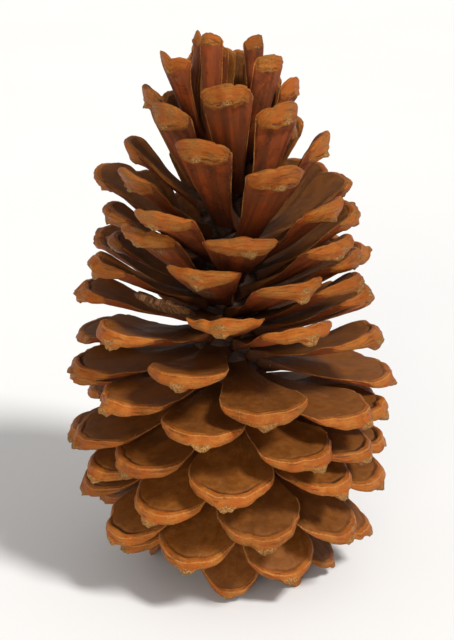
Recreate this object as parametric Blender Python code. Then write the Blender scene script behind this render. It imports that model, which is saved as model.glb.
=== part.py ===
"""Open cone of a maritime pine, standing on its lowest scales.

A woody axis carries 137 scales on one spiral. Each scale turns 137.508
degrees from the one before it and sits a little higher. Every scale grows
from a diamond-shaped cushion, and the cushions tile the axis. Scales number
i, i + 8 and i + 16 are neighbours on one of the eight rising rows, and their
cushions have grown together, so each such run is one body. Lengths in this
file are in millimetres until the meshes are made.
"""
import bpy
import bmesh
import math
import numpy as np

for old in list(bpy.data.objects):
    bpy.data.objects.remove(old, do_unlink=True)

# ---------------------------------------------------------------- dimensions
DIVERGENCE = 137.508      # degrees from one scale to the next
SCALES = 137              # scales from the base (0) to the apex (136)
FRONT = 55                # the scale whose bearing is set by hand
FRONT_BEARING = -10.0     # its bearing from the front, degrees
ROW = 8                   # step along a rising row
GROUND = 1.5              # height of the ground in the growth frame
NECK_WIDTH = 0.58         # width of a scale at the axis, in axis radii
TOP = 1.1                 # wood above the middle plane of a scale
UNDER = 1.1               # wood below it, on the stalk
KEEL = 2.4                # extra depth under the end of a scale
UMBO = 0.5                # the point in the middle of the keel
RIM_TOP = 0.4             # upper edge of the rim, above the middle plane
RIM_UNDER = 1.0           # lower edge of the rim, below the middle plane
SHOULDER = 100.0          # the rim runs this far round, each side, degrees
RIM_POINTS = 7
CURL = 8.0                # bend of a scale from neck to tip, degrees
CUSHION = 1.6             # thickness of a cushion
STANDOFF = 0.8            # where a scale leaves its cushion
GAP = 0.17                # half of the gap between two bodies
STEEP = 46.0              # no scale leaves the axis more upright than this
DROOP = -36.0             # nor hangs more than this where it leaves the axis
MM = 0.001

# scale number: height on the axis, pitch (degrees), length, width, axis radius, cup
STAGE = (
    (-18, 10, -62, 24, 14, 7.6, 0.0), (0, 23, -58, 27, 16, 8.4, 0.0), (8, 27, -48, 31, 19.5, 9, 0.0),
    (16, 32, -39, 35, 23, 9, 0.0), (26, 41, -27, 38, 24.5, 9, 0.0), (34, 48, -21, 38, 24.5, 9, 0.0),
    (42, 53, -13, 38, 24, 9, 0.0), (50, 57, -8, 38, 23.5, 9, 0.0), (55, 61, -1, 38, 23.5, 9, 0.0),
    (60, 65, 2, 38, 23.5, 9, 0.2), (63, 67.5, 2, 38, 23.5, 9, 0.4), (68, 72, 12, 38, 22, 9, 0.8),
    (76, 78, 24, 38, 21, 9, 1.4), (84, 84, 28, 38, 20.5, 9, 1.8), (92, 90, 31, 38, 20, 9, 2.0),
    (97, 95, 33, 38, 20, 9, 2.0), (102, 100, 38, 38, 18.5, 8.8, 1.9), (105, 104, 45, 38, 17.5, 8.4, 1.8),
    (110, 110.5, 52, 37, 16, 7.8, 1.6), (118, 120, 61, 35, 14, 6.8, 1.4), (126, 127, 69, 31, 9.5, 5.9, 1.0),
    (136, 134, 80, 27, 7, 4.7, 0.8), (154, 146, 80, 24, 8, 2.6, 0.8),
)

# how single scales differ from their stage: yaw, pitch (whole degrees), length (mm), lean (degrees), width (mm)
HABIT = {
    0: (14, -8, -2, 0, -1), 3: (13, 3, 1, 0, -2), 5: (-1, 0, -10, 0, -2), 6: (0, -1, 0, 0, -1),
    8: (-9, -1, 0, 0, -3), 10: (0, 4, -2, 0, -3), 11: (13, 0, 2, 0, -2), 13: (-9, 7, -9, 0, -3),
    15: (0, 2, 0, 0, 0), 16: (6, 0, 0, 0, 0), 18: (0, 2, -2, 0, -1), 19: (0, 4, 4, 0, 0),
    21: (-17, 3, 0, 0, -1), 23: (0, 2, -3, 0, 0), 24: (12, 1, 2, 0, 0), 26: (-14, 0, 2, 0, -2),
    29: (0, -2, 0, 0, 0), 31: (-2, 3, 1, 0, -1), 32: (10, 4, 3, 0, 0), 34: (-16, -2, 0, 0, -1),
    37: (15, 2, 0, 0, 0), 39: (-9, 2, 1, 0, -2), 40: (0, -1, 1, 0, 0), 42: (-2, -4, 0, 0, 0),
    44: (0, 0, 2, 0, 0), 45: (7, -1, 0, 0, -1), 47: (-11, -3, 0, 0, 0), 50: (11, -1, 0, 0, 0),
    52: (0, -6, 3, 0, 0), 53: (0, -2, 0, 0, 0), 55: (-1, 1, 0, 0, 0), 56: (0, -5, 0, 0, 0),
    57: (0, -2, 0, 0, 0), 58: (13, -5, 2, 0, 0), 60: (-4, -1, 0, 0, 0), 61: (0, -10, 3, 0, 0),
    62: (0, -6, 0, 0, 0), 63: (6, -3, 0, 0, 0), 65: (0, -7, 0, 0, 0), 66: (4, 9, 0, 0, 0), 68: (7, -3, 0, 0, 0),
    70: (0, -20, 0, 0, 0), 71: (0, 8, 0, 0, 0), 73: (10, -4, 0, 0, 0), 74: (0, 2, -4, 0, 0),
    76: (1, 1, 0, 0, 0), 78: (4, -7, -2, 0, 0), 79: (7, 4, 0, 0, 0), 81: (-10, -1, -9, 0, 0),
    82: (0, 0, -3, 0, 0), 83: (0, -3, 0, 0, 0), 84: (11, 1, 0, 0, 0), 86: (0, -2, -2, 0, 0),
    87: (0, 0, -4, 0, 0), 89: (5, 1, 0, 0, 0), 91: (0, -3, -9, 0, 0), 92: (15, 2, 0, 0, 0),
    94: (8, 7, -2, 0, 0), 95: (0, 2, -5, 0, 0), 99: (0, -2, -7, 0, 0), 100: (0, 4, -5, 0, 0),
    102: (-3, -4, 0, 0, 0), 103: (0, -10, -6, 0, 0), 104: (0, -15, -2, 0, 0), 105: (-3, 2, 2, 0, 0),
    107: (0, -8, -5, 0, 0), 108: (0, 6, -4, 0, 0), 110: (-11, 0, 0, 0, 0), 111: (0, 1, -8, 0, -2),
    112: (0, -13, -8, 0, 0), 113: (-8, 10, 0, 0, 0), 115: (-4, 1, 0, 0, 0), 116: (0, 3, -12, 4, 0),
    117: (0, 2, -8, 0, 0), 118: (-16, 2, 3, -3, 0), 119: (0, 0, -4, 0, 0), 120: (0, -5, -2, 0, 0),
    121: (0, 4, -3, 7, 0), 123: (-4, 14, 9, 0, -4), 124: (0, 2, -9, 0, 0), 125: (0, 2, -4, 0, 0),
    126: (-5, 2, 3, 6, 0), 127: (0, 0, -3, 0, 0), 128: (4, -8, 4, 0, 0), 129: (0, 3, -8, 0, 0),
    130: (0, 5, 0, 0, 0), 131: (0, 1, -9, 0, 0), 132: (0, 0, -6, 0, 0), 133: (0, 8, 3, 0, 0),
    134: (-9, 5, 3, 0, 0), 135: (0, 4, -4, 0, 0), 136: (18, 3, 0, 0, 0),
}
STANDING = (0, 1, 2, 3, 4, 6, 7)   # scales whose ends reach the ground
FIRST_RUN = 16                     # below this number a run has two scales
NUMBERS = [row[0] for row in STAGE]


def stage(i, column):
    return float(np.interp(i, NUMBERS, [row[column] for row in STAGE]))


def stoutness(i):
    """The scales at the base and at the apex are thinner."""
    return float(np.interp(i, (0, 20, 110, 136), (0.7, 1.0, 1.0, 0.75)))


def roundness(i):
    """The ends of the low scales are round, those of the high ones broad."""
    return float(np.interp(i, (62, 92), (1.0, 0.62)))


def bearing(i):
    return FRONT_BEARING + (i - FRONT) * DIVERGENCE


def pose(i):
    yaw, pitch, length, lean, width = HABIT.get(i, (0, 0, 0, 0, 0))
    return {"bearing": math.radians(bearing(i)), "height": stage(i, 1),
            "pitch": stage(i, 2) + pitch, "length": stage(i, 3) + length,
            "width": stage(i, 4) + width, "round": roundness(i), "radius": stage(i, 5), "cup": stage(i, 6),
            "yaw": math.radians(yaw), "lean": math.radians(lean), "stout": stoutness(i)}


def midline(p):
    """Distance along a scale against reach, rise and angle in its own plane."""
    mean = p["pitch"]
    start = min(max(mean, DROOP), STEEP)
    mean += (mean - start) / 7.0
    t = np.linspace(0.0, 1.2, 61)
    angle = np.radians(mean + CURL * (t - 0.5) + (start - mean) * np.clip(1.0 - t, 0.0, 1.0) ** 6)
    step = np.diff(t)[:, None] * p["length"]
    mid = 0.5 * (angle[1:] + angle[:-1])[:, None]
    walk = np.concatenate([np.zeros((1, 2)), np.cumsum(np.hstack([np.cos(mid), np.sin(mid)]) * step, axis=0)])
    return t * p["length"], walk[:, 0], walk[:, 1], angle


def outline(p, v, u):
    """Plan of the scale: v runs from neck to rim, u from one side to the other."""
    length, half = p["length"], 0.5 * p["width"]
    depth = (half + 1.0) * p["round"]
    turn = math.radians(SHOULDER) * u
    end_s, end_x = length - depth + depth * math.cos(turn), half * math.sin(turn)
    neck = 0.5 * NECK_WIDTH * p["radius"]
    w0, w1, w2 = (1 - v) ** 2, 2 * v * (1 - v), v * v
    return w1 * 0.5 * end_s + w2 * end_s, w0 * u * neck + w1 * 0.55 * end_x + w2 * end_x


def place(p, s, x, n, line):
    """From the scale's own frame (along, across, up) to the growth frame."""
    n = n * p["stout"] + p["cup"] * (x / (0.5 * p["width"])) ** 2 * min(1.0, s / (0.6 * p["length"])) ** 2
    reach, rise, angle = (float(np.interp(s, line[0], line[k])) for k in (1, 2, 3))
    out = reach - n * math.sin(angle)
    up = rise + n * math.cos(angle)
    out, x = out * math.cos(p["yaw"]) - x * math.sin(p["yaw"]), out * math.sin(p["yaw"]) + x * math.cos(p["yaw"])
    x, up = x * math.cos(p["lean"]) + up * math.sin(p["lean"]), up * math.cos(p["lean"]) - x * math.sin(p["lean"])
    r = p["radius"] + out
    c, d = math.cos(p["bearing"]), math.sin(p["bearing"])
    return (r * d + x * c, -r * c + x * d, p["height"] + up)


class Body:
    """Vertices that meet at one place are kept once."""

    def __init__(self):
        self.points, self.faces, self.index = [], [], {}

    def point(self, xyz):
        key = tuple(round(c, 4) for c in xyz)
        if key not in self.index:
            self.index[key] = len(self.points)
            self.points.append((xyz[0], xyz[1], max(xyz[2], GROUND)))
        return self.index[key]

    def face(self, *corners):
        if len(set(corners)) == 3:
            self.faces.append(corners)

    def strip(self, a, b):
        """Triangles between two rows of (parameter, vertex)."""
        i = j = 0
        while i < len(a) - 1 or j < len(b) - 1:
            step_a = j == len(b) - 1 or (i < len(a) - 1 and a[i + 1][0] + a[i][0] <= b[j + 1][0] + b[j][0])
            if step_a:
                self.face(a[i][1], a[i + 1][1], b[j][1])
                i += 1
            else:
                self.face(a[i][1], b[j + 1][1], b[j][1])
                j += 1

    def mesh(self, name, colour, roughness, middle):
        bm = bmesh.new()
        verts = [bm.verts.new(((x - middle[0]) * MM, (y - middle[1]) * MM, (z - GROUND) * MM))
                 for x, y, z in self.points]
        for f in self.faces:
            bm.faces.new([verts[k] for k in f])
        bmesh.ops.recalc_face_normals(bm, faces=bm.faces[:])
        if bm.calc_volume(signed=True) < 0:
            bmesh.ops.reverse_faces(bm, faces=bm.faces[:])
        data = bpy.data.meshes.new(name)
        bm.to_mesh(data)
        bm.free()
        data.polygons.foreach_set("use_smooth", [True] * len(data.polygons))
        data.set_sharp_from_angle(angle=math.radians(38))
        made = bpy.data.objects.new(name, data)
        bpy.context.scene.collection.objects.link(made)
        look = bpy.data.materials.new(name + "_wood")
        look.use_nodes = True
        shader = look.node_tree.nodes["Principled BSDF"]
        shader.inputs["Base Color"].default_value = (*colour, 1.0)
        shader.inputs["Roughness"].default_value = roughness
        data.materials.append(look)
        return made


def centre(i):
    return np.array([bearing(i), stage(i, 1), stage(i, 5)])


def cushion(i, low, high, first):
    """Corners bottom, right, top, left of a cushion as bearing, height, radius.

    low and high say whether the cushion has grown together with the one
    before or after it on the row. Other sides are drawn in to leave a gap,
    by the share that suits the first scale of the run.
    """
    def turned(j):
        c = centre(j)
        own = bearing(i)
        c[0] = own + (c[0] - own + 180.0) % 360.0 - 180.0
        return c
    four = [sum(turned(i + k) for k in step) / 4.0 for step in
            ((0, -5, -8, -13), (0, 8, -5, 3), (0, 5, 8, 13), (0, -8, 5, -3))]
    bottom, right, top, left = four
    e5 = e8 = GAP / (0.66 * centre(first)[2])
    q0, q1 = (0.0 if low else e8), (0.0 if high else e8)

    def at(p, q):
        return ((1 - p) * (1 - q) * bottom + (1 - p) * q * right + p * q * top + p * (1 - q) * left)
    return [at(e5, q0), at(e5, 1 - q1), at(1 - e5, 1 - q1), at(1 - e5, q0)]


def polar(c, inward=0.0):
    t = math.radians(c[0])
    r = c[2] - inward
    return (r * math.sin(t), -r * math.cos(t), float(c[1]))


def under(v, u, p):
    """Depth of the underside: a thin stalk, then the keel that bears the umbo."""
    if v < 0.7:
        return UNDER
    size = min(1.0, p["width"] / 18.0)
    return UNDER + (KEEL * (1 - u * u) + (UMBO if u == 0 else 0.0)) * size


def add_scale(body, i, p, low, high, first):
    line = midline(p)
    shear = math.tan(line[3][0])

    def spot(v, u, n):
        s, x = outline(p, v, u)
        if v == 0.0:
            n *= p["stout"]
            s = (STANDOFF + n * math.sin(line[3][0])) / math.cos(line[3][0])
            t = p["bearing"]
            r = p["radius"] + STANDOFF - x * x / (2 * p["radius"])
            up = s * math.sin(line[3][0]) + n * math.cos(line[3][0])
            return body.point((r * math.sin(t) + x * math.cos(t), -r * math.cos(t) + x * math.sin(t), p["height"] + up))
        return body.point(place(p, s + n * shear * max(0.0, 1 - v / 0.35) ** 2, x, n, line))

    rim = np.linspace(-1, 1, RIM_POINTS)
    top = [[(u, spot(0.0, u, TOP)) for u in (-1, 1)], [(u, spot(0.16, u, TOP)) for u in (-1, 1)],
           [(u, spot(0.5, u, TOP)) for u in (-1, 0, 1)], [(u, spot(0.8, u, TOP)) for u in (-1, 0, 1)],
           [(u, spot(1.0, u, RIM_TOP)) for u in rim]]
    low_rows = [[(u, spot(0.0, u, -UNDER)) for u in (-1, 1)], [(u, spot(0.16, u, -UNDER)) for u in (-1, 1)],
                [(u, spot(0.5, u, -under(0.5, u, p))) for u in (-1, 0, 1)],
                [(u, spot(0.8, u, -under(0.8, u, p))) for u in (-1, -0.5, 0, 0.5, 1)],
                [(u, spot(1.0, u, -RIM_UNDER)) for u in rim]]
    for a, b in zip(top[:-1], top[1:]):
        body.strip(a, b)
    for a, b in zip(low_rows[:-1], low_rows[1:]):
        body.strip(a, b)
    for side in (0, -1):
        for k in range(len(top) - 1):
            a, b = top[k][side][1], top[k + 1][side][1]
            c, d = low_rows[k][side][1], low_rows[k + 1][side][1]
            body.face(a, b, d)
            body.face(a, d, c)
    for k in range(RIM_POINTS - 1):
        a, b = top[-1][k][1], top[-1][k + 1][1]
        c, d = low_rows[-1][k][1], low_rows[-1][k + 1][1]
        body.face(a, b, d)
        body.face(a, d, c)

    corners = cushion(i, low, high, first)
    outer = [body.point(polar(c)) for c in corners]
    inner = [body.point(polar(c, CUSHION)) for c in corners]
    b, r, t, l = outer
    left_top, right_top = top[0][0][1], top[0][1][1]
    left_low, right_low = low_rows[0][0][1], low_rows[0][1][1]
    for f in ((b, r, right_low), (r, right_top, right_low), (r, t, right_top), (t, left_top, right_top),
              (t, l, left_top), (l, left_low, left_top), (l, b, left_low), (b, right_low, left_low)):
        body.face(*f)
    bi, ri, ti, li = inner
    body.face(bi, ti, ri)
    body.face(bi, li, ti)
    sides = {"right": (r, t, ri, ti), "left": (l, b, li, bi), "low_right": (b, r, bi, ri), "high_left": (t, l, ti, li)}
    # the left side meets scale i - 8 of the row, the right side meets scale i + 8
    edges = [sides["low_right"], sides["high_left"]]
    if not high:
        edges.append(sides["right"])
    if not low:
        edges.append(sides["left"])
    for a, c, ai, ci in edges:
        body.face(a, ai, c)
        body.face(c, ai, ci)


def settle(p):
    """Length that brings the end of a standing scale to the ground."""
    lo, hi = 0.6 * p["length"], 1.6 * p["length"]
    for _ in range(40):
        p["length"] = 0.5 * (lo + hi)
        line = midline(p)
        lowest = min(place(p, *outline(p, 1.0, u), -RIM_UNDER, line)[2] for u in np.linspace(-1, 1, RIM_POINTS))
        if lowest > GROUND - 0.4:
            lo = p["length"]
        else:
            hi = p["length"]
    return p


def run_of(i):
    """The numbers of the run that scale i belongs to."""
    if i < FIRST_RUN:
        start, size = i % ROW, 2
    else:
        k = (i - FIRST_RUN) // ROW
        start, size = FIRST_RUN + (i - FIRST_RUN) % ROW + ROW * 3 * (k // 3), 3
    return [start + ROW * n for n in range(size) if start + ROW * n < SCALES]


runs = sorted({tuple(run_of(i)) for i in range(SCALES)})
last = (SCALES - 1,)
if last in runs:
    runs.remove(last)
    runs = [r + last if r[-1] == SCALES - 1 - ROW else r for r in runs]

bodies = []
for run in runs:
    body = Body()
    for k, i in enumerate(run):
        p = pose(i)
        if i in STANDING:
            p = settle(p)
        add_scale(body, i, p, k > 0, k < len(run) - 1, run[0])
    bodies.append(("scales_" + "_".join("%03d" % i for i in run), body))

# ------------------------------------------------------------------- the axis
axis = Body()
AROUND = 12
heights = [15.5, 17.0] + [float(z) for z in np.linspace(22.0, 136.0, 13)] + [139.0, 141.0]
levels = []
for k, z in enumerate(heights):
    i = float(np.interp(z, [row[1] for row in STAGE], NUMBERS))
    r = 0.895 * (stage(i, 5) - CUSHION) - 0.15
    if k == 0:
        r *= 0.75
    if k == len(heights) - 1:
        r *= 0.5
    levels.append([axis.point((r * math.sin(2 * math.pi * (j + 0.5 * (k % 2)) / AROUND),
                               -r * math.cos(2 * math.pi * (j + 0.5 * (k % 2)) / AROUND), z)) for j in range(AROUND)])
for k in range(len(levels) - 1):
    for j in range(AROUND):
        a, b = levels[k][j], levels[k][(j + 1) % AROUND]
        c, d = levels[k + 1][j], levels[k + 1][(j + 1) % AROUND]
        if k % 2 == 0:
            axis.face(a, b, c)
            axis.face(b, d, c)
        else:
            axis.face(a, b, d)
            axis.face(a, d, c)
foot = axis.point((0.0, 0.0, heights[0]))
head = axis.point((0.0, 0.0, heights[-1]))
for j in range(AROUND):
    axis.face(levels[0][(j + 1) % AROUND], levels[0][j], foot)
    axis.face(levels[-1][j], levels[-1][(j + 1) % AROUND], head)

# the middle of the cone's base is the origin
points = np.array([xyz for name, body in bodies for xyz in body.points])
middle = 0.5 * (points.min(axis=0) + points.max(axis=0))
for number, (name, body) in enumerate(bodies):
    tone = 0.5 + 0.5 * math.sin(2.4 * number)
    body.mesh(name, (0.20 + 0.05 * tone, 0.085 + 0.02 * tone, 0.035 + 0.008 * tone), 0.68, middle)
axis.mesh("axis", (0.075, 0.04, 0.022), 0.85, middle)
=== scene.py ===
import bpy
import math
import numpy as np
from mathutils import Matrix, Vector


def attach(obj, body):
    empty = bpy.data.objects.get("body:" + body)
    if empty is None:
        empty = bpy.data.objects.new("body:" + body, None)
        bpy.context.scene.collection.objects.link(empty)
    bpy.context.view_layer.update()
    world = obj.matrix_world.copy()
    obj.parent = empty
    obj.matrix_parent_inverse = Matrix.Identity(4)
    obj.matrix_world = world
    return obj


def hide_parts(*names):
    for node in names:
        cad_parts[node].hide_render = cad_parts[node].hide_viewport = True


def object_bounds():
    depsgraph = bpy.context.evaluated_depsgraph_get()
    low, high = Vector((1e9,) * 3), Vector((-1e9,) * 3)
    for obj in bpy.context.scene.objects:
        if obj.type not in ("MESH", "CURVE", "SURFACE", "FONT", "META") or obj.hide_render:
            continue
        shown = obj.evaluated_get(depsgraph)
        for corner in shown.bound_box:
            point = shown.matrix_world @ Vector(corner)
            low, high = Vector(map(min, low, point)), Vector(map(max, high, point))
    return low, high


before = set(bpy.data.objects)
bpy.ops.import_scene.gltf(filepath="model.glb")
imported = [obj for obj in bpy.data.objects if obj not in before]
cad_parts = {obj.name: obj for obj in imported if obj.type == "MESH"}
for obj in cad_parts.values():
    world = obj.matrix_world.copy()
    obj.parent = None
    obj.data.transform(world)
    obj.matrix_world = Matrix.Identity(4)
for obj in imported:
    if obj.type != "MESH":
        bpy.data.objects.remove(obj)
cad_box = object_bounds()
scene = bpy.context.scene

# --------------------------------------------------------------- growth rules
# The same rules as in the construction: one spiral of 137 scales on an axis.
# Lengths are in millimetres until the meshes are made.
DIVERGENCE, SCALES, FRONT, FRONT_BEARING = 137.508, 137, 55, -10.0
ROW, FIRST_RUN, GROUND = 8, 16, 1.5
MIDDLE = (0.8111, 0.4243)          # middle of the cone's base in the growth frame
NECK_WIDTH, SHOULDER, CURL, STANDOFF = 0.58, 100.0, 8.0, 0.8
RIM_UNDER = 1.0
STEEP, DROOP = 46.0, -36.0
MM = 0.001

# scale number: height on the axis, pitch, length, width, axis radius, cup
STAGE = (
    (-18, 10, -62, 24, 14, 7.6, 0.0), (0, 23, -58, 27, 16, 8.4, 0.0), (8, 27, -48, 31, 19.5, 9, 0.0),
    (16, 32, -39, 35, 23, 9, 0.0), (26, 41, -27, 38, 24.5, 9, 0.0), (34, 48, -21, 38, 24.5, 9, 0.0),
    (42, 53, -13, 38, 24, 9, 0.0), (50, 57, -8, 38, 23.5, 9, 0.0), (55, 61, -1, 38, 23.5, 9, 0.0),
    (60, 65, 2, 38, 23.5, 9, 0.2), (63, 67.5, 2, 38, 23.5, 9, 0.4), (68, 72, 12, 38, 22, 9, 0.8),
    (76, 78, 24, 38, 21, 9, 1.4), (84, 84, 28, 38, 20.5, 9, 1.8), (92, 90, 31, 38, 20, 9, 2.0),
    (97, 95, 33, 38, 20, 9, 2.0), (102, 100, 38, 38, 18.5, 8.8, 1.9), (105, 104, 45, 38, 17.5, 8.4, 1.8),
    (110, 110.5, 52, 37, 16, 7.8, 1.6), (118, 120, 61, 35, 14, 6.8, 1.4), (126, 127, 69, 31, 9.5, 5.9, 1.0),
    (136, 134, 80, 27, 7, 4.7, 0.8), (154, 146, 80, 24, 8, 2.6, 0.8),
)

# how single scales differ from their stage: yaw, pitch, length, lean, width
HABIT = {
    0: (14, -8, -2, 0, -1), 3: (13, 3, 1, 0, -2), 5: (-1, 0, -10, 0, -2), 6: (0, -1, 0, 0, -1),
    8: (-9, -1, 0, 0, -3), 10: (0, 4, -2, 0, -3), 11: (13, 0, 2, 0, -2), 13: (-9, 7, -9, 0, -3),
    15: (0, 2, 0, 0, 0), 16: (6, 0, 0, 0, 0), 18: (0, 2, -2, 0, -1), 19: (0, 4, 4, 0, 0),
    21: (-17, 3, 0, 0, -1), 23: (0, 2, -3, 0, 0), 24: (12, 1, 2, 0, 0), 26: (-14, 0, 2, 0, -2),
    29: (0, -2, 0, 0, 0), 31: (-2, 3, 1, 0, -1), 32: (10, 4, 3, 0, 0), 34: (-16, -2, 0, 0, -1),
    37: (15, 2, 0, 0, 0), 39: (-9, 2, 1, 0, -2), 40: (0, -1, 1, 0, 0), 42: (-2, -4, 0, 0, 0),
    44: (0, 0, 2, 0, 0), 45: (7, -1, 0, 0, -1), 47: (-11, -3, 0, 0, 0), 50: (11, -1, 0, 0, 0),
    52: (0, -6, 3, 0, 0), 53: (0, -2, 0, 0, 0), 55: (-1, 1, 0, 0, 0), 56: (0, -5, 0, 0, 0),
    57: (0, -2, 0, 0, 0), 58: (13, -5, 2, 0, 0), 60: (-4, -1, 0, 0, 0), 61: (0, -10, 3, 0, 0),
    62: (0, -6, 0, 0, 0), 63: (6, -3, 0, 0, 0), 65: (0, -7, 0, 0, 0), 66: (4, 9, 0, 0, 0), 68: (7, -3, 0, 0, 0),
    70: (0, -20, 0, 0, 0), 71: (0, 8, 0, 0, 0), 73: (10, -4, 0, 0, 0), 74: (0, 2, -4, 0, 0),
    76: (1, 1, 0, 0, 0), 78: (4, -7, -2, 0, 0), 79: (7, 4, 0, 0, 0), 81: (-10, -1, -9, 0, 0),
    82: (0, 0, -3, 0, 0), 83: (0, -3, 0, 0, 0), 84: (11, 1, 0, 0, 0), 86: (0, -2, -2, 0, 0),
    87: (0, 0, -4, 0, 0), 89: (5, 1, 0, 0, 0), 91: (0, -3, -9, 0, 0), 92: (15, 2, 0, 0, 0),
    94: (8, 7, -2, 0, 0), 95: (0, 2, -5, 0, 0), 99: (0, -2, -7, 0, 0), 100: (0, 4, -5, 0, 0),
    102: (-3, -4, 0, 0, 0), 103: (0, -10, -6, 0, 0), 104: (0, -15, -2, 0, 0), 105: (-3, 2, 2, 0, 0),
    107: (0, -8, -5, 0, 0), 108: (0, 6, -4, 0, 0), 110: (-11, 0, 0, 0, 0), 111: (0, 1, -8, 0, -2),
    112: (0, -13, -8, 0, 0), 113: (-8, 10, 0, 0, 0), 115: (-4, 1, 0, 0, 0), 116: (0, 3, -12, 4, 0),
    117: (0, 2, -8, 0, 0), 118: (-16, 2, 3, -3, 0), 119: (0, 0, -4, 0, 0), 120: (0, -5, -2, 0, 0),
    121: (0, 4, -3, 7, 0), 123: (-4, 14, 9, 0, -4), 124: (0, 2, -9, 0, 0), 125: (0, 2, -4, 0, 0),
    126: (-5, 2, 3, 6, 0), 127: (0, 0, -3, 0, 0), 128: (4, -8, 4, 0, 0), 129: (0, 3, -8, 0, 0),
    130: (0, 5, 0, 0, 0), 131: (0, 1, -9, 0, 0), 132: (0, 0, -6, 0, 0), 133: (0, 8, 3, 0, 0),
    134: (-9, 5, 3, 0, 0), 135: (0, 4, -4, 0, 0), 136: (18, 3, 0, 0, 0),
}

STANDING = (0, 1, 2, 3, 4, 6, 7)
NUMBERS = [row[0] for row in STAGE]


def stage(i, column):
    return float(np.interp(i, NUMBERS, [row[column] for row in STAGE]))


def bearing(i):
    return FRONT_BEARING + (i - FRONT) * DIVERGENCE


def pose(i):
    yaw, pitch, length, lean, width = HABIT.get(i, (0, 0, 0, 0, 0))
    return {"bearing": math.radians(bearing(i)), "height": stage(i, 1),
            "pitch": stage(i, 2) + pitch, "length": stage(i, 3) + length,
            "width": stage(i, 4) + width, "round": float(np.interp(i, (62, 92), (1.0, 0.62))),
            "radius": stage(i, 5), "cup": stage(i, 6),
            "yaw": math.radians(yaw), "lean": math.radians(lean),
            "stout": float(np.interp(i, (0, 20, 110, 136), (0.7, 1.0, 1.0, 0.75)))}


def midline(p):
    """Distance along a scale against reach, rise and angle in its own plane."""
    mean = p["pitch"]
    start = min(max(mean, DROOP), STEEP)
    mean += (mean - start) / 7.0
    t = np.linspace(0.0, 1.2, 61)
    angle = np.radians(mean + CURL * (t - 0.5) + (start - mean) * np.clip(1.0 - t, 0.0, 1.0) ** 6)
    step = np.diff(t)[:, None] * p["length"]
    mid = 0.5 * (angle[1:] + angle[:-1])[:, None]
    walk = np.concatenate([np.zeros((1, 2)), np.cumsum(np.hstack([np.cos(mid), np.sin(mid)]) * step, axis=0)])
    return t * p["length"], walk[:, 0], walk[:, 1], angle


def outline(p, v, u):
    """Plan of the scale: v runs from neck to rim, u from one side to the other."""
    length, half = p["length"], 0.5 * p["width"]
    depth = (half + 1.0) * p["round"]
    turn = math.radians(SHOULDER) * u
    end_s, end_x = length - depth + depth * np.cos(turn), half * np.sin(turn)
    neck = 0.5 * NECK_WIDTH * p["radius"]
    w0, w1, w2 = (1 - v) ** 2, 2 * v * (1 - v), v * v
    return w1 * 0.5 * end_s + w2 * end_s, w0 * u * neck + w1 * 0.55 * end_x + w2 * end_x


def place(p, s, x, n, line):
    """From the scale's own frame (along, across, up) to the growth frame."""
    n = n * p["stout"] + p["cup"] * (x / (0.5 * p["width"])) ** 2 * np.minimum(1.0, np.maximum(s, 0) / (0.6 * p["length"])) ** 2
    ahead = np.minimum(s, 0.0)                      # behind the neck the line runs straight on
    t = np.maximum(s, 0.0)
    reach, rise, angle = (np.interp(t, line[0], line[k]) for k in (1, 2, 3))
    reach, rise = reach + ahead * np.cos(angle), rise + ahead * np.sin(angle)
    out = reach - n * np.sin(angle)
    up = rise + n * np.cos(angle)
    out, x = out * math.cos(p["yaw"]) - x * math.sin(p["yaw"]), out * math.sin(p["yaw"]) + x * math.cos(p["yaw"])
    x, up = x * math.cos(p["lean"]) + up * math.sin(p["lean"]), up * math.cos(p["lean"]) - x * math.sin(p["lean"])
    r = p["radius"] + out
    c, d = math.cos(p["bearing"]), math.sin(p["bearing"])
    return np.stack([r * d + x * c, -r * c + x * d, p["height"] + up], axis=-1)


def settle(p):
    """Length that brings the end of a standing scale to the ground."""
    lo, hi = 0.6 * p["length"], 1.6 * p["length"]
    u = np.linspace(-1, 1, 7)
    for _ in range(40):
        p["length"] = 0.5 * (lo + hi)
        s, x = outline(p, 1.0, u)
        lowest = place(p, s, x, -RIM_UNDER, midline(p))[:, 2].min()
        if lowest > GROUND - 0.4:
            lo = p["length"]
        else:
            hi = p["length"]
    return p


def node_of(i):
    """The CAD node that scale i belongs to."""
    if i < FIRST_RUN:
        start, size = i % ROW, 2
    else:
        k = (i - FIRST_RUN) // ROW
        start, size = FIRST_RUN + (i - FIRST_RUN) % ROW + ROW * 3 * (k // 3), 3
    run = [start + ROW * n for n in range(size) if start + ROW * n < SCALES]
    name = "scales_" + "_".join("%03d" % k for k in run)
    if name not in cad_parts:
        name = next(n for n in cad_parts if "_%03d" % i in n)
    return name


# ---------------------------------------------------------------------- noise
def lattice(ix, iy, seed):
    h = (ix.astype(np.int64) * 374761393 + iy.astype(np.int64) * 668265263 + seed * 974634777) & 0x7FFFFFFF
    h = ((h ^ (h >> 13)) * 1274126177) & 0x7FFFFFFF
    h = ((h ^ (h >> 16)) * 60493) & 0x7FFFFFFF
    return (h % 100003) / 100003.0


def noise(x, y, seed):
    """Smooth noise in the plane, from -1 to 1."""
    x, y = np.broadcast_arrays(np.asarray(x, float), np.asarray(y, float))
    ix, iy = np.floor(x), np.floor(y)
    fx, fy = x - ix, y - iy
    fx, fy = fx * fx * (3 - 2 * fx), fy * fy * (3 - 2 * fy)
    a, b = lattice(ix, iy, seed), lattice(ix + 1, iy, seed)
    c, d = lattice(ix, iy + 1, seed), lattice(ix + 1, iy + 1, seed)
    return 2 * ((a * (1 - fx) + b * fx) * (1 - fy) + (c * (1 - fx) + d * fx) * fy) - 1


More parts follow.
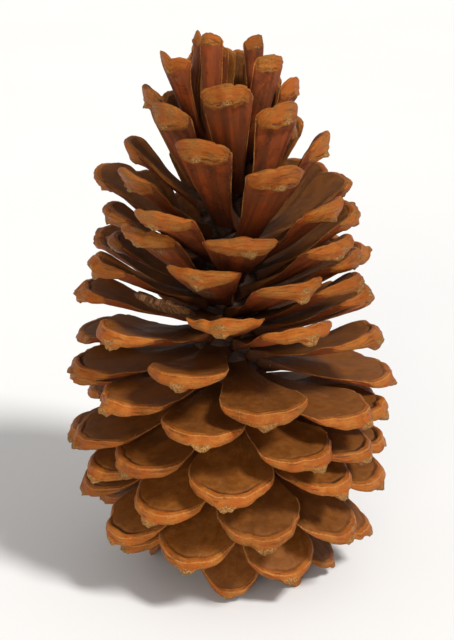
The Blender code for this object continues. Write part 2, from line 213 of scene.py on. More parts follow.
def rough(x, y, seed, octaves=3):
    total, size = 0.0, 1.0
    for k in range(octaves):
        total = total + noise(x * 2 ** k, y * 2 ** k, seed + 31 * k) * size
        size *= 0.5
    return total / (2 - 2.0 ** (1 - octaves))


def chance(i, k):
    """One fixed number from 0 to 1 for a scale and a purpose."""
    return float(lattice(np.array([i * 7 + 3]), np.array([k * 13 + 5]), 77)[0])


def bell(x, width):
    return np.exp(-(x / width) ** 2)


def ease(x):
    x = np.clip(x, 0.0, 1.0)
    return x * x * (3 - 2 * x)


# ------------------------------------------------------------------ one scale
ACROSS = 36                   # faces from side to side
LAYERS = np.array([0.0, 0.04, 0.12, 0.24, 0.38, 0.52, 0.66, 0.80, 0.92, 1.0])      # through the rim
BROKEN = {81}                 # its end has broken off
CORNER = 80.0                 # the shield ends this far round, each side, degrees
SIDES = ("s", "x", "n", "d", "e", "v", "g", "fan", "under", "shield", "umbo", "keel", "lip", "flame", "crease")


def rows_of(length, width, keel):
    """v of the rows on the upper face and on the underside: close together at the rim."""
    size = width / 19.0
    top = np.array([0, 0.22, 0.5, 0.8, 1.1, 1.4, 1.7, 2.0, 2.3, 2.7, 3.2, 3.9, 4.8, 6.0, 7.4, 9.0, 10.8, 12.6, 14.4]) * size
    low = np.array([0, 0.3, 0.7, 1.3, 2.0, 2.8, 3.6, 4.4, 5.1, 5.7, 6.3, 6.8, 7.3, 7.9, 8.7, 9.7, 10.9, 12.3, 14.0]) * size * keel
    made = []
    for near in (top, low):
        share = np.minimum(near / length, 0.42 * np.arange(len(near)) / (len(near) - 1) + 0.02)
        share[0] = 0.0
        neck = share[-1] + (1 - share[-1]) * np.linspace(1, 0, 13)[:-1] ** 0.9
        made.append(1 - np.concatenate([neck, share[::-1]]))
    return made


def scale_mesh(i, trim=0.0):
    p = pose(i)
    if i in STANDING:
        p = settle(p)
    p["length"] -= trim
    line = midline(p)
    length, width = p["length"], p["width"]
    size = width / 19.0
    half = 0.5 * width
    broken = i in BROKEN
    whole = 0.0 if broken else 1.0
    wave = 0.65 + 0.55 * chance(i, 1)
    # low scales show the end of the shield, high ones have a shield that slopes back under the tip
    high = float(ease((i - 82) / 26.0))
    t = np.linspace(-1, 1, ACROSS + 1)[None, :]
    u = t * (0.80 + 0.20 * t * t)
    turn = np.radians(SHOULDER) * u
    side_of = np.abs(np.degrees(turn)) / CORNER              # 1 at the corners of the shield
    arch = np.clip(1 - side_of ** 2, 0, 1)
    off = 0.16 * (chance(i, 3) - 0.5)                        # the umbo sits a little to one side
    keel_far = float(np.interp(i, (55, 76, 97, 103, 110), (0.05, 0.08, 0.13, 0.22, 0.32))) * (0.9 + 0.2 * chance(i, 2))    # in widths
    v_top, v_low = rows_of(length, width, 0.55 + 0.45 * high)

    # outline of the end: waves, two corners and a few nicks
    ragged = 0.50 * noise(u * 1.7 + 9, i * 1.0, 11) + 0.34 * noise(u * 3.9, i * 1.0, 12) + 0.17 * noise(u * 9.0, i * 1.0, 13) + 0.08 * noise(u * 21.0, i * 1.0, 14)
    ragged = wave * size * ragged - 0.55 + 0.55 * size * (0.25 + bell((i - 64) / 20.0, 1.0)) * bell(side_of - 0.93, 0.13)
    nick = 0.0 * u
    for k in range(3):
        nick = nick + (0.25 + 0.75 * chance(i, 30 + k)) * bell(u - (1.7 * chance(i, 40 + k) - 0.85), 0.022 + 0.05 * chance(i, 50 + k))
    ragged = ragged - 0.55 * size * nick * wave
    if broken:
        ragged = ragged * 2.2 - 0.5
    if i == 128:                                             # two lobes with a hollow between them
        ragged = ragged + 1.1 + 1.2 * bell(u + 0.72, 0.25) + 1.0 * bell(u - 0.78, 0.22) - 2.0 * bell(u - 0.10, 0.34)
    wavy = size * wave * (0.34 * noise(u * 1.9 + 3, i * 1.0, 31) + 0.22 * noise(u * 4.6, i * 1.0, 32)) - 0.22 * size * nick
    wavy = wavy + 0.5 * size * bell((i - 60) / 22.0, 1.0) * np.clip(side_of, 0, 1.1) ** 3

    def plan(v, inset):
        s, x = outline(p, v, u)
        end = v ** 5
        s = s + (ragged - inset) * end * np.cos(turn)
        x = x + (ragged - inset) * end * np.sin(turn)
        flare = np.clip(1 - v / 0.14, 0, 1) ** 2
        x = x * (1 + 0.35 * flare)
        s = s - 2.2 * np.clip(1 - v / 0.10, 0, 1)
        return s, x, flare

    def inward(s, x, v):
        """Distance to the rim along the scale, and to the nearest side."""
        step = np.hypot(np.diff(s, axis=0), np.diff(x, axis=0))
        d = np.concatenate([np.cumsum(step[::-1], axis=0)[::-1], np.zeros((1, s.shape[1]))])
        side = (1 - np.abs(u)) * np.abs(x[:, -1:])
        e = -np.log(np.exp(-d / 0.6) + np.exp(-(side + 0.3) / 0.6)) * 0.6
        e = np.where(v > 0.999, 0.0, np.maximum(e, 0.0))
        return d, e

    # depth of the end: the rim face, the keel below it and the point on the keel
    tall = float(np.interp(i, (0, 14, 20, 30, 42, 52, 65, 80, 97, 108), (0.1, 0.15, 0.45, 0.75, 0.95, 1.1, 1.4, 1.6, 1.4, 0.75)))
    tall = tall * (0.85 + 0.35 * chance(i, 6)) * size * whole
    uneven = 1 + 0.22 * wave * noise(u * 2.1 + 4, i * 1.0, 21) + 0.12 * noise(u * 5.3, i * 1.0, 22)
    rim_low = 0.20 + 0.25 * arch ** 0.5 + tall * arch ** 0.55 * uneven
    inset = (0.15 + 0.80 * (1 - high)) * arch ** 0.6 * size * whole
    keel_line = np.maximum(keel_far * width * arch ** 0.62 * (1 + 0.16 * wave * noise(u * 2.3 + 4, i * 1.0, 25) + 0.08 * noise(u * 6.1, i * 1.0, 26)), 0.12)
    keel_deep = size * float(np.interp(i, (55, 80, 97, 110), (0.25, 0.5, 1.1, 2.5))) * arch ** 0.8 * uneven * whole

    # the upper face
    v = v_top[:, None]
    s, x, flare = plan(v, inset)
    d, e = inward(s, x, v)
    fan = x / (0.35 + 0.65 * v)
    fade = ease((v - 0.18) / 0.4)
    t_top = 1.05 - ((0.16 + 0.42 * high) * bell(e, 0.28 + 0.35 * high) + 0.06 * bell(e, 1.2)) * fade
    front = bell(side_of, 0.62) ** 1.4
    strength = (0.30 + 1.0 * chance(i, 5)) * (1 - 0.85 * high) * float(ease((i - 12) / 10.0) * 0.8 + 0.2) * np.clip(0.85 + 0.75 * noise(u * 2.6 + 7, i * 1.0, 33), 0.05, 1.5) * front
    near = e + 0.30 * size * noise(u * 2.9, i * 1.0, 34) + 0.12 * noise(u * 8.0, i * 1.0, 35)
    groove = bell(near - 1.70 * size, 0.33 * size) * strength * fade * whole
    lip = bell(near - 0.75 * size, 0.60 * size) * strength * fade * whole
    t_top = t_top + 0.30 * lip - 0.62 * groove
    side_e = (1 - np.abs(u)) * np.abs(x[:, -1:])
    thin = 1 - (1 - bell(side_e, 1.9 * size)) * (1 - bell(e, 1.6) * (1 - arch ** 0.5))
    t_top = t_top - 0.62 * thin * ease((v - 0.14) / 0.25)
    wing = bell((x - 0.22 * width) / (0.17 * width), 1.0) + bell((x + 0.22 * width) / (0.17 * width), 1.0)
    t_top = t_top - 0.62 * wing * bell((s / length - 0.50) / 0.24, 1.0) * np.clip(half / 8.0, 0, 1)
    t_top = t_top + 0.24 * rough(s / 8.0 + 3, x / 6.0 + i, 41, 2) * ease(v / 0.3)
    t_top = t_top + 0.05 * rough(s / 6.0, fan / 0.9 + 5 * i, 42, 2) * ease(v / 0.3) * ease(e / 2.0)
    t_top = t_top * (1 + 0.9 * flare)
    if broken:
        t_top = t_top + 0.42 * rough(s / 11.0, x / 1.4, 43) * ease((v - 0.3) / 0.3)
    t_top = t_top + wavy * v ** 5
    zero = 0.0 * s
    top = dict(s=s, x=x, n=t_top, d=d, e=e, v=v + zero, g=-e, fan=fan, under=zero, umbo=zero, keel=zero, flame=zero, crease=zero)
    top["shield"] = ease((1.55 * size - near) / (0.8 * size)) * ease(arch / 0.10 + 0.0 * x) * ease((v - 0.55) / 0.15) * whole * (0.55 + 0.45 * front)
    # lip less groove: where it runs low, the material paints the shade of the groove
    top["lip"] = lip - 1.0 * groove

    # the underside
    v = v_low[:, None]
    s, x, flare = plan(v, 0.0)
    d, e = inward(s, x, v)
    fan = x / (0.35 + 0.65 * v)
    back = np.maximum((3.6 + 1.8 * high) * size * (0.3 + 0.7 * arch), 0.8)                # length of the lower facet
    stalk = 1.20 + 0.45 * bell(u / 0.55, 1.0) * ease((v - 0.1) / 0.3) * size
    k = np.clip(d / keel_line, 0, 1)
    rise = k ** 0.85 * (1 - 0.10 * np.sin(math.pi * k))
    full = rim_low + keel_deep
    past = np.clip((d - keel_line) / back, 0, 1)
    fall = 0.55 * past + 0.45 * ease(past)
    deep = np.where(d <= keel_line, rim_low + keel_deep * rise, full + (stalk - full) * fall)
    side_e = (1 - np.abs(u)) * np.abs(x[:, -1:])
    deep = deep * (1 - (0.72 * bell(side_e, 1.7 * size)) * ease((v - 0.14) / 0.25))
    # low ridges that follow the keel
    after = d - keel_line
    ridge = np.sin(after / (0.62 * size) * 1.7 + 2.4 * noise(u * 3, i * 1.0, 51)) + 0.7 * np.sin(after / (0.62 * size) * 3.1 + 2.0 * noise(u * 4, i * 1.0, 56))
    deep = deep + (0.09 + 0.30 * high) * size * wave * ridge * bell(after, 2.6 * size) * arch
    height = 1.0 + rim_low                                            # of the rim face
    g = height + d
    g_keel = height + keel_line
    x0 = off * width

    def umbo_at(x, g):
        ux, ud = (x - x0) / (2.3 * size), (g - g_keel + 0.35 * size * (1 - high)) / (1.45 * size)
        soft = 0.22 * rough(x / 1.1 + i, g / 1.1, 57, 2)
        return ease(1.22 + soft - (np.abs(ux) ** 1.4 + np.abs(ud) ** 1.4)) * whole

    umbo = umbo_at(x, g)
    lump = umbo * size * (0.75 + 0.45 * (1 - high) * float(ease((i - 14) / 20.0)) + 0.55 * rough(x / 0.9, d / 0.9 + i, 52))
    deep = deep + lump
    deep = deep + 0.14 * rough(x / 2.4 + i, d / 2.0, 53) * ease((v - 0.3) / 0.3)
    deep = deep + 0.08 * rough(s / 5.0, fan / 0.8 + 7 * i, 54, 2) * ease(v / 0.3) * ease((d - keel_line - 2) / 2)
    # a broad fold down the middle of the underside
    deep = deep + 0.30 * high * bell(fan / (0.30 * width), 1.0) * ease(after / 5.0)
    deep = deep * (1 + 0.9 * flare)
    if broken:
        deep = deep + 0.40 * rough(s / 11.0, x / 1.4, 55) * ease((v - 0.3) / 0.3)
    zero = 0.0 * s
    low = dict(s=s, x=x, n=wavy * v ** 5 - deep, d=d, e=e, v=v + zero, g=g, fan=fan, under=zero + 1.0, umbo=umbo, lip=zero)
    low["shield"] = ease((keel_line + (1.0 + 3.2 * high) * size - d) / ((1.0 + 3.8 * high) * size)) * ease(arch / 0.10) * whole
    # crease marks the valleys between the ridges under the keel, for painted shade
    low["crease"] = np.clip(-0.9 * ridge, 0, 1) * bell(after - 0.8, 3.0 * size) * arch * (0.25 + 0.75 * high) * whole
    low["keel"] = bell((g - g_keel) / (0.8 * size), 1.0) * arch ** 0.5
    low["flame"] = ease(1 - (after - 1.0) / (13.0 * size)) * whole

    rows_t, rows_l, cols = len(v_top), len(v_low), ACROSS + 1
    # the path round the edge: left side up, rim across, right side down
    path = [(k, 0) for k in range(rows_t - 1)] + [(rows_t - 1, j) for j in range(cols)] + [(k, cols - 1) for k in range(rows_t - 2, -1, -1)]
    ia = np.array([a for a, b in path])
    ib = np.array([b for a, b in path])
    ring_t = {n: top[n][ia, ib] for n in SIDES}
    ring_l = {n: low[n][ia, ib] for n in SIDES}
    at_rim = ia == rows_t - 1
    rim_arch = np.where(at_rim, arch[0][ib], 0.0)
    rim_share = ease(rim_arch / 0.10)
    along = np.stack([np.gradient(ring_l["s"]), np.gradient(ring_l["x"])], -1)
    along /= np.maximum(np.linalg.norm(along, axis=1, keepdims=True), 1e-9)
    outward = np.stack([-along[:, 1], along[:, 0]], -1)
    if outward[len(path) // 2, 0] < 0:
        outward = -outward
    arc = np.concatenate([[0.0], np.cumsum(np.hypot(np.diff(ring_l["s"]), np.diff(ring_l["x"])))])
    tallness = ring_t["n"] - ring_l["n"]
    bands = []
    for q in LAYERS[1:-1]:
        band = {n: ring_t[n] * (1 - q) + ring_l[n] * q for n in SIDES}
        band["g"] = tallness * q
        ux = (band["x"] - x0) / (2.3 * size)
        ud = (band["g"] - tallness - (keel_line[0][ib] if np.ndim(keel_line) else 0) * high + 0.35 * size * (1 - high)) / (1.45 * size)
        pad = ease(1.22 + 0.22 * rough(band["x"] / 1.1 + i, band["g"] / 1.1, 57, 2) - (np.abs(ux) ** 1.4 + np.abs(ud) ** 1.4)) * at_rim * whole
        swell = 0.30 * math.sin(math.pi * q) ** 0.7 + 0.13 * rim_share * noise(arc * 0.13, band["g"] * 1.7 + i, 61)
        swell = swell + 0.09 * rim_share * noise(arc * 0.35, band["g"] * 3.4 + i, 62) + 0.05 * noise(arc * 1.3, q * 3.0 + i, 63)
        swell = swell + 0.75 * size * pad * (1 + 0.4 * rough(arc / 0.9, band["g"] / 0.9, 64, 2))
        band["s"] = band["s"] + outward[:, 0] * swell
        band["x"] = band["x"] + outward[:, 1] * swell
        band["shield"] = rim_share * whole * at_rim
        band["umbo"] = pad
        band["keel"] = bell((band["g"] - tallness) / (0.8 * size), 1.0) * rim_arch ** 0.5 * (1 - high)
        band["under"] = np.full(len(path), 0.5)
        band["e"] = 0.0 * arc
        bands.append(band)
    # the lowest line of the rim carries the point as well
    flat = {n: np.concatenate([top[n].ravel(), low[n].ravel()] + [b[n] for b in bands]) for n in SIDES}
    flat["arc"] = np.concatenate([(u * half * 1.35 + 0 * top["s"]).ravel(), (u * half * 1.35 + 0 * low["s"]).ravel()] + [u[0][ib] * half * 1.35 for b in bands])

    shear = math.tan(line[3][0])
    bend = flat["n"] * p["stout"] * shear * np.maximum(0.0, 1 - flat["v"] / 0.35) ** 2
    at = place(p, flat["s"] + bend, flat["x"], flat["n"], line)
    at[:, 0] -= MIDDLE[0]
    at[:, 1] -= MIDDLE[1]
    at[:, 2] = np.maximum(at[:, 2] - GROUND, 0.0)

    n_top, n_low, ring = rows_t * cols, rows_l * cols, len(path)
    faces = []
    for k in range(rows_t - 1):
        for j in range(cols - 1):
            a = k * cols + j
            faces.append((a, a + 1, a + 1 + cols, a + cols))
    for k in range(rows_l - 1):
        for j in range(cols - 1):
            a = n_top + k * cols + j
            faces.append((a, a + cols, a + 1 + cols, a + 1))
    top_ring = [a * cols + b for a, b in path]
    low_ring = [n_top + a * cols + b for a, b in path]
    rings = [top_ring] + [[n_top + n_low + q * ring + m for m in range(ring)] for q in range(len(bands))] + [low_ring]
    for a, b in zip(rings[:-1], rings[1:]):
        for m in range(ring - 1):
            faces.append((a[m], a[m + 1], b[m + 1], b[m]))
    # the hidden end inside the axis
    cap = [j for j in range(cols)] + [r[-1] for r in rings[1:-1]] + [n_top + j for j in range(cols - 1, -1, -1)] + [r[0] for r in rings[-2:0:-1]]
    faces.append(tuple(reversed(cap)))
    return at, faces, flat


def make_piece(name, at, faces, values, material):
    data = bpy.data.meshes.new(name)
    data.from_pydata((at * MM).tolist(), [], faces)
    data.validate()
    data.polygons.foreach_set("use_smooth", [True] * len(data.polygons))
    for key, numbers in values.items():
        kind = "FLOAT_VECTOR" if numbers.ndim == 2 else "FLOAT"
        layer = data.attributes.new(key, kind, "POINT")
        layer.data.foreach_set("vector" if numbers.ndim == 2 else "value", np.ascontiguousarray(numbers, dtype=np.float32).ravel())
    data.materials.append(material)
    made = bpy.data.objects.new(name, data)
    scene.collection.objects.link(made)
    return made


# ------------------------------------------------------------------ materials
class Nodes:
    """Short names for building a node material."""

    def __init__(self, name):
        self.material = bpy.data.materials.new(name)
        self.material.use_nodes = True
        self.tree = self.material.node_tree
        self.shader = self.tree.nodes["Principled BSDF"]

    def put(self, socket, value):
        if isinstance(value, bpy.types.NodeSocket):
            self.tree.links.new(value, socket)
        elif value is not None:
            socket.default_value = value

    def new(self, kind, **settings):
        node = self.tree.nodes.new(kind)
        for key, value in settings.items():
            setattr(node, key, value)
        return node

    def attribute(self, name, output="Fac"):
        node = self.new("ShaderNodeAttribute")
        node.attribute_type = "GEOMETRY"
        node.attribute_name = name
        return node.outputs[output]

    def maths(self, operation, a, b=None, c=None, clamp=False):
        node = self.new("ShaderNodeMath", operation=operation, use_clamp=clamp)
        for socket, value in zip(node.inputs, (a, b, c)):
            self.put(socket, value)
        return node.outputs[0]

    def times(self, a, b):
        return self.maths("MULTIPLY", a, b)

    def plus(self, a, b):
        return self.maths("ADD", a, b)

    def scaled(self, vector, by):
        node = self.new("ShaderNodeVectorMath", operation="MULTIPLY")
        self.put(node.inputs[0], vector)
        node.inputs[1].default_value = by
        return node.outputs[0]

    def shifted(self, vector, value):
        """The vector moved by a number in all directions."""
        node = self.new("ShaderNodeVectorMath", operation="ADD")
        self.put(node.inputs[0], vector)
        joined = self.new("ShaderNodeCombineXYZ")
        for k in range(3):
            self.put(joined.inputs[k], value)
        self.put(node.inputs[1], joined.outputs[0])
        return node.outputs[0]

    def noise(self, vector, scale, detail=3.0, rough=0.55, warp=0.0):
        node = self.new("ShaderNodeTexNoise")
        self.put(node.inputs["Vector"], vector)
        node.inputs["Scale"].default_value = scale
        node.inputs["Detail"].default_value = detail
        node.inputs["Roughness"].default_value = rough
        node.inputs["Distortion"].default_value = warp
        return node.outputs["Fac"]

    def cells(self, vector, scale, feature="F1"):
        node = self.new("ShaderNodeTexVoronoi", feature=feature)
        self.put(node.inputs["Vector"], vector)
        node.inputs["Scale"].default_value = scale
        return node.outputs["Distance"]

    def ramp(self, value, low, high, to_low=0.0, to_high=1.0):
        node = self.new("ShaderNodeMapRange", interpolation_type="SMOOTHSTEP")
        self.put(node.inputs["Value"], value)
        for key, number in (("From Min", low), ("From Max", high), ("To Min", to_low), ("To Max", to_high)):
            node.inputs[key].default_value = number
        return node.outputs[0]

    def mix(self, share, a, b, kind="MIX"):
        node = self.new("ShaderNodeMix", data_type="RGBA", blend_type=kind)
        self.put(node.inputs["Factor"], share)
        for socket, value in ((node.inputs[6], a), (node.inputs[7], b)):
            if isinstance(value, tuple):
                value = (*value, 1.0)
            self.put(socket, value)
        return node.outputs[2]

    def bump(self, height, distance, strength=1.0, after=None):
        node = self.new("ShaderNodeBump")
        self.put(node.inputs["Height"], height)
        node.inputs["Distance"].default_value = distance
        node.inputs["Strength"].default_value = strength
        if after is not None:
            self.put(node.inputs["Normal"], after)
        return node.outputs[0]


def scale_wood():
    """Wood of the scales. The vertices say where the underside, the shield, the
    point on it and the sharp edges are; noise breaks up every border."""
    m = Nodes("scale_wood")
    grain = m.attribute("grain", "Vector")          # fan, along, number of the scale; in mm
    across = m.attribute("plan", "Vector")          # across, along, number
    skin = m.attribute("skin", "Vector")            # along the rim, down the shield, number
    under, shield, umbo = m.attribute("under"), m.attribute("shield"), m.attribute("umbo")
    keel, lip, tone, flame = m.attribute("keel"), m.attribute("lip"), m.attribute("tone"), m.attribute("flame")
    scar, root, edge_highlight_and_wear, pale = m.attribute("scar"), m.attribute("root"), m.attribute("edge"), m.attribute("pale")

    # noises, in mm on the surface
    broad = m.noise(across, 0.16, 2.0)
    blotch = m.noise(across, 0.42, 4.0, 0.6)
    fine = m.noise(across, 1.9, 4.0, 0.65)
    fibre = m.noise(m.scaled(grain, (1.0, 0.05, 1.0)), 2.6, 3.0, 0.55)
    wide_fibre = m.noise(m.scaled(grain, (1.0, 0.05, 1.0)), 0.55, 2.0, 0.5)
    patch = m.noise(skin, 0.28, 3.0, 0.6)
    grit = m.noise(skin, 3.6, 3.0, 0.62)
    crumb = m.noise(skin, 1.7, 4.0, 0.68)
    layered = m.noise(m.scaled(skin, (0.12, 1.0, 1.0)), 1.6, 4.0, 0.62, 0.35)

    # upper face
    top = m.mix(m.ramp(blotch, 0.34, 0.68), (0.155, 0.047, 0.0065), (0.220, 0.074, 0.0115))
    top = m.mix(m.ramp(wide_fibre, 0.42, 0.70, 0.0, 0.5), top, (0.185, 0.066, 0.0150))
    top = m.mix(m.ramp(broad, 0.48, 0.66, 0.0, 0.45), top, (0.120, 0.038, 0.0070))
    top = m.mix(m.ramp(fibre, 0.60, 0.76, 0.0, 0.22), top, (0.280, 0.112, 0.0260))
    # painted shade: the groove inside the lip is darkened almost to black
    top = m.mix(m.ramp(lip, -0.15, -0.80, 0.0, 0.85), top, (0.020, 0.0075, 0.0040))
    # underside
    low = m.mix(m.ramp(wide_fibre, 0.34, 0.66), (0.140, 0.032, 0.0085), (0.265, 0.052, 0.0100))
    low = m.mix(m.ramp(broad, 0.45, 0.65, 0.0, 0.5), low, (0.130, 0.041, 0.0135))
    low = m.mix(m.times(m.ramp(flame, 0.15, 1.0), m.ramp(blotch, 0.20, 0.70, 0.45, 0.9)), low, (0.350, 0.082, 0.0100))
    low = m.mix(m.ramp(fibre, 0.60, 0.76, 0.0, 0.30), low, (0.330, 0.115, 0.0320))
    wood = m.mix(m.ramp(m.plus(under, m.times(m.plus(blotch, -0.5), 0.5)), 0.35, 0.65), top, low)
    # painted shade: towards the axis, where the scales crowd together, the wood is darker
    wood = m.mix(m.times(root, 0.80), wood, (0.032, 0.0120, 0.0058))

    # shield
    rind = m.mix(m.ramp(patch, 0.36, 0.66), (0.315, 0.074, 0.0055), (0.375, 0.120, 0.0145))
    rind = m.mix(m.ramp(layered, 0.53, 0.66, 0.0, 0.75), rind, (0.125, 0.034, 0.0062))
    rind = m.mix(m.ramp(crumb, 0.55, 0.68, 0.0, 0.45), rind, (0.205, 0.058, 0.0080))
    near_keel = m.maths("MAXIMUM", m.times(keel, 0.85), m.times(pale, 0.55))
    crumbs = m.times(m.ramp(m.plus(m.times(grit, 0.6), m.times(crumb, 0.4)), 0.48, 0.58), m.ramp(m.plus(near_keel, m.times(m.plus(patch, -0.5), 1.6)), 0.22, 0.62))
    rind = m.mix(m.times(crumbs, 0.85), rind, (0.420, 0.210, 0.0540))
    # painted shade: the valleys between the ridges under the keel are darkened
    rind = m.mix(m.ramp(m.plus(m.attribute("crease"), m.times(m.plus(fine, -0.5), 0.5)), 0.25, 0.70, 0.0, 0.75), rind, (0.095, 0.025, 0.0060))
    border = m.plus(shield, m.times(m.plus(fine, -0.5), 0.7))
    on_shield = m.times(m.ramp(border, 0.25, 0.70), m.ramp(shield, 0.02, 0.22))
    colour = m.mix(on_shield, wood, rind)
    # point
    point = m.mix(m.ramp(grit, 0.40, 0.60), (0.180, 0.073, 0.0170), (0.420, 0.215, 0.0650))
    colour = m.mix(m.ramp(m.plus(umbo, m.times(m.plus(fine, -0.5), 1.0)), 0.30, 0.60), colour, point)
    # painted highlight along the sharp upper edges of the rim, and wear that rubs the keel paler
    highlight_and_wear = m.ramp(m.plus(m.maths("MAXIMUM", edge_highlight_and_wear, m.times(keel, 0.40)), m.times(m.plus(fine, -0.5), 1.7)), 0.62, 1.0, 0.0, 0.75)
    colour = m.mix(highlight_and_wear, colour, (0.430, 0.185, 0.0480))
    # torn wood
    torn = m.mix(m.ramp(m.noise(m.scaled(grain, (1.0, 0.25, 1.0)), 1.4, 5.0, 0.7), 0.40, 0.62), (0.075, 0.0280, 0.0120), (0.290, 0.135, 0.0480))
    colour = m.mix(m.ramp(m.plus(scar, m.times(m.plus(fine, -0.5), 1.2)), 0.38, 0.66), colour, torn)
    # light scratches and dust
    scratch = m.times(m.ramp(m.noise(m.scaled(grain, (1.0, 0.16, 1.0)), 1.9, 2.0, 0.5, 2.2), 0.670, 0.70), m.ramp(blotch, 0.46, 0.58))
    colour = m.mix(m.times(scratch, 0.50), colour, (0.420, 0.220, 0.1000))
    # no two scales have quite the same tone
    shade = m.ramp(tone, 0.0, 1.0, 0.84, 1.14)
    mixed = m.new("ShaderNodeVectorMath", operation="SCALE")
    m.put(mixed.inputs[0], colour)
    m.put(mixed.inputs["Scale"], shade)
    m.put(m.shader.inputs["Base Color"], mixed.outputs[0])

    gloss = m.ramp(blotch, 0.35, 0.65, 0.48, 0.66)
    gloss = m.plus(gloss, m.times(on_shield, -0.09))
    gloss = m.plus(gloss, m.times(m.maths("MAXIMUM", umbo, scar), 0.22))
    m.put(m.shader.inputs["Roughness"], m.plus(gloss, m.times(m.plus(fine, -0.5), 0.25)))
    m.shader.inputs["Specular IOR Level"].default_value = 0.17

    # relief: fibres on the faces, ridges along the keel and grains on the shield
    h_wood = m.plus(m.times(fibre, 0.22), m.times(fine, 0.22))
    h_rind = m.plus(m.times(layered, 0.85), m.plus(m.times(grit, 0.45), m.times(crumb, 0.35)))
    away = m.maths("SUBTRACT", 1.0, on_shield)
    height = m.plus(m.times(h_wood, away), m.times(h_rind, on_shield))
    height = m.plus(height, m.times(m.times(grit, m.maths("MAXIMUM", m.maths("MAXIMUM", umbo, scar), m.times(crumbs, 0.7))), 1.0))
    height = m.plus(height, m.times(scratch, 0.25))
    m.put(m.shader.inputs["Normal"], m.bump(height, 0.00048, 1.0))
    return m.material


def core_wood():
    """Rough fibrous wood of the axis, between the scales."""
    m = Nodes("core_wood")
    at = m.attribute("grain", "Vector")             # round, height; in mm
    groove = m.attribute("groove")
    fibre = m.noise(m.scaled(at, (1.0, 0.22, 1.0)), 1.6, 5.0, 0.65, 0.6)
    lump = m.noise(at, 0.45, 3.0)
    grit = m.noise(at, 3.0, 4.0, 0.65)
    # the axis wood's own dark brown, made darker still as painted shade of the deep gaps between the scales
    colour = m.mix(m.ramp(lump, 0.35, 0.65), (0.026, 0.0115, 0.0068), (0.062, 0.0260, 0.0130))
    colour = m.mix(m.ramp(fibre, 0.50, 0.70, 0.0, 0.6), colour, (0.110, 0.0500, 0.0240))
    colour = m.mix(m.ramp(grit, 0.60, 0.72, 0.0, 0.5), colour, (0.200, 0.1000, 0.0450))
    # painted shade: the valleys between the scale bases are darkened almost to black
    colour = m.mix(m.times(groove, 0.8), colour, (0.010, 0.0050, 0.0035))
    m.put(m.shader.inputs["Base Color"], colour)
    m.put(m.shader.inputs["Roughness"], m.ramp(lump, 0.35, 0.65, 0.66, 0.85))
    m.shader.inputs["Specular IOR Level"].default_value = 0.35
    m.put(m.shader.inputs["Normal"], m.bump(m.plus(m.times(fibre, 0.7), m.times(grit, 0.4)), 0.0006, 1.0))
    return m.material


# --------------------------------------------------------------- the 137 scales
wood = scale_wood()
BOX_LOW, BOX_HIGH = np.array(cad_box[0]), np.array(cad_box[1])
for i in range(SCALES):
    at, faces, f = scale_mesh(i)
    # no tip reaches past the box of the construction
    trim = 0.0
    for _ in range(4):
        over = max(float((at * MM - BOX_HIGH).max()), float((BOX_LOW - at * MM).max())) / MM
        if over <= 0.0:
            break
        trim += 1.25 * over + 0.05
        at, faces, f = scale_mesh(i, trim)
    number = np.full(len(at), i * 3.7)
    fade = ease((f["v"] - 0.2) / 0.4)
    scar = np.zeros(len(at))
    if i == 89:
        scar = f["under"] * bell((f["s"] - 20) / 8.0, 1.0) * bell((f["x"] + 2.0) / 4.5, 1.0)
    if i in BROKEN:
        scar = ease((f["v"] - 0.35) / 0.25)
    if i == 94:
        scar = 0.8 * f["under"] * bell((f["s"] - 27) / 3.0, 1.0) * bell((f["x"] - 2.0) / 4.0, 1.0)
    values = {
        "grain": np.stack([f["fan"], f["s"], number], -1),
        "plan": np.stack([f["x"], f["s"], number + 50 * f["under"].round()], -1),
        "skin": np.stack([f["arc"], f["g"], number], -1),
        "under": f["under"], "shield": f["shield"], "umbo": f["umbo"], "keel": f["keel"], "lip": f["lip"],
        "crease": f["crease"],
        "flame": f["flame"], "tone": np.full(len(at), chance(i, 9)), "scar": scar,
        "pale": np.full(len(at), float(ease((i - 70) / 32.0)) * (0.20 + 0.80 * chance(i, 8))),
        # root: painted shade, strongest at the neck of each scale next to the axis
        "root": ease(1 - f["v"] / 0.55),
        # edge: painted highlight along the sharp upper edge of the rim
        "edge": np.where(f["under"] < 0.75, bell(f["g"], 0.30), 0.0) * fade,
    }
    piece = make_piece("scale_%03d" % i, at, faces, values, wood)
    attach(piece, "root")
    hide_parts(node_of(i))


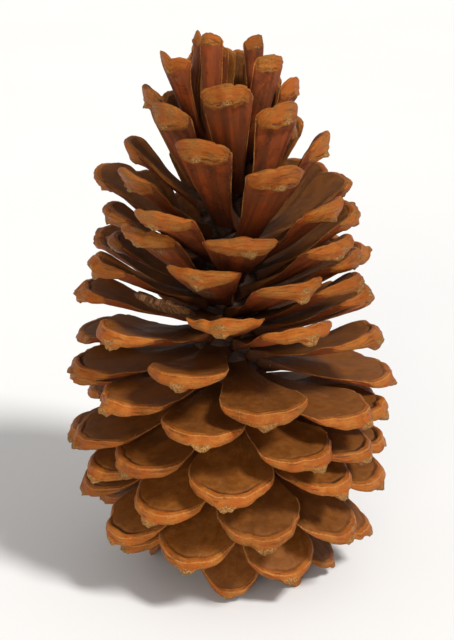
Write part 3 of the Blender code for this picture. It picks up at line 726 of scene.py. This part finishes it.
# ------------------------------------------------------------------- the axis
def axis_mesh():
    around, levels = 170, 250
    z = np.linspace(14.6, 143.0, levels)
    radius = np.interp(z, [row[1] for row in STAGE], [row[5] for row in STAGE])
    # both ends close in a dome
    foot, head = np.clip((z - 14.6) / 4.0, 0, 1), np.clip((143.0 - z) / 5.0, 0, 1)
    radius = radius * np.sqrt(np.clip(1 - (1 - foot) ** 2.4, 0.0, 1)) * np.sqrt(np.clip(1 - (1 - head) ** 2, 0.0, 1))
    t = np.linspace(0, 2 * math.pi, around, endpoint=False)
    zz, tt = np.meshgrid(z, t, indexing="ij")
    rr = np.broadcast_to(radius[:, None], zz.shape)
    near, second = np.full(zz.shape, 99.0), np.full(zz.shape, 99.0)
    for i in range(-14, SCALES + 14):
        turn = (tt - math.radians(bearing(i)) + math.pi) % (2 * math.pi) - math.pi
        gap = np.hypot(turn * stage(i, 5), (zz - stage(i, 1)) * 1.05)
        second = np.minimum(second, np.maximum(gap, near))
        near = np.minimum(near, gap)
    valley = bell((second - near) / 0.9, 1.0)
    lump = 0.8 * np.clip(1 - (near / 4.2) ** 2, 0, 1)
    circle_x, circle_y = np.cos(tt) * 9, np.sin(tt) * 9
    uneven = 0.35 * rough(circle_x / 3 + zz / 9, circle_y / 3 + zz / 2.6, 71) + 0.22 * rough(circle_x / 0.8 + 40, zz / 1.5 + circle_y / 0.9, 72, 2)
    r = np.maximum(rr + (lump - 1.0 * valley + uneven) * np.minimum(1.0, rr / 3.0), 0.05)
    xyz = np.stack([r * np.sin(tt) - MIDDLE[0], -r * np.cos(tt) - MIDDLE[1], zz - GROUND], -1)
    faces = []
    for k in range(levels - 1):
        for j in range(around):
            a, b = k * around + j, k * around + (j + 1) % around
            faces.append((a, b, b + around, a + around))
    faces.append(tuple(range(around - 1, -1, -1)))
    faces.append(tuple(range((levels - 1) * around, levels * around)))
    grain = np.stack([np.cos(tt) * 9, np.sin(tt) * 9, zz], -1).reshape(-1, 3)
    # groove marks the valleys between the scale bases, painted as shade in core_wood
    return xyz.reshape(-1, 3), faces, {"grain": grain, "groove": valley.ravel()}


at, faces, values = axis_mesh()
core = make_piece("axis_wood", at, faces, values, core_wood())
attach(core, "root")
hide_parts("axis")


# --------------------------------------------------------- floor, light, camera
floor_data = bpy.data.meshes.new("floor")
R = 6.0
floor_data.from_pydata([(-R, -R, -0.0002), (R, -R, -0.0002), (R, R, -0.0002), (-R, R, -0.0002)], [], [(0, 1, 2, 3)])
floor = bpy.data.objects.new("floor", floor_data)
scene.collection.objects.link(floor)
paper = Nodes("floor_paper")
coordinates = paper.new("ShaderNodeTexCoord").outputs["Object"]
paper.put(paper.shader.inputs["Base Color"], paper.mix(paper.ramp(paper.noise(coordinates, 3.0, 3.0), 0.3, 0.7), (0.86, 0.86, 0.86), (0.885, 0.885, 0.885)))
paper.shader.inputs["Roughness"].default_value = 0.9
floor_data.materials.append(paper.material)

world = bpy.data.worlds.new("studio")
scene.world = world
world.use_nodes = True
world.node_tree.nodes["Background"].inputs["Color"].default_value = (1.0, 0.99, 0.98, 1.0)
world.node_tree.nodes["Background"].inputs["Strength"].default_value = 0.42


def lamp(name, azimuth, elevation, spread, power, colour):
    """A soft light. Azimuth 0 is at the camera's side, 90 at its right."""
    light = bpy.data.lights.new(name, "SUN")
    light.angle, light.energy, light.color = math.radians(spread), power, colour
    made = bpy.data.objects.new(name, light)
    a, e = math.radians(azimuth), math.radians(elevation)
    off = Vector((math.sin(a) * math.cos(e), -math.cos(a) * math.cos(e), math.sin(e)))
    made.location = off
    made.rotation_mode = "QUATERNION"
    made.rotation_quaternion = off.to_track_quat("Z", "Y")
    scene.collection.objects.link(made)
    return made


lamp("key", 48, 50, 12, 2.75, (1.0, 0.985, 0.96))
lamp("front", -16, 14, 30, 1.25, (1.0, 0.93, 0.84))

ELEVATION, DISTANCE, FOCAL = math.radians(21.0), 0.520, 1812.0       # the focal length in pixels of a 454 x 640 frame
target = Vector((-MIDDLE[0] * MM, -MIDDLE[1] * MM, (78.0 - GROUND) * MM))
back = Vector((0.0, -math.cos(ELEVATION), math.sin(ELEVATION)))
camera_data = bpy.data.cameras.new("camera")
camera_data.sensor_width, camera_data.sensor_fit = 36.0, "AUTO"
camera_data.lens = FOCAL / 640.0 * 36.0
camera = bpy.data.objects.new("camera", camera_data)
camera.rotation_mode = "QUATERNION"
camera.location = target + back * DISTANCE - Vector((2.0 / FOCAL * DISTANCE, 0, 0))
camera.rotation_quaternion = back.to_track_quat("Z", "Y")
camera_data.clip_start, camera_data.clip_end = 0.01, 30.0
scene.collection.objects.link(camera)
scene.camera = camera

scene.view_settings.view_transform = "Standard"
scene.view_settings.look = "None"
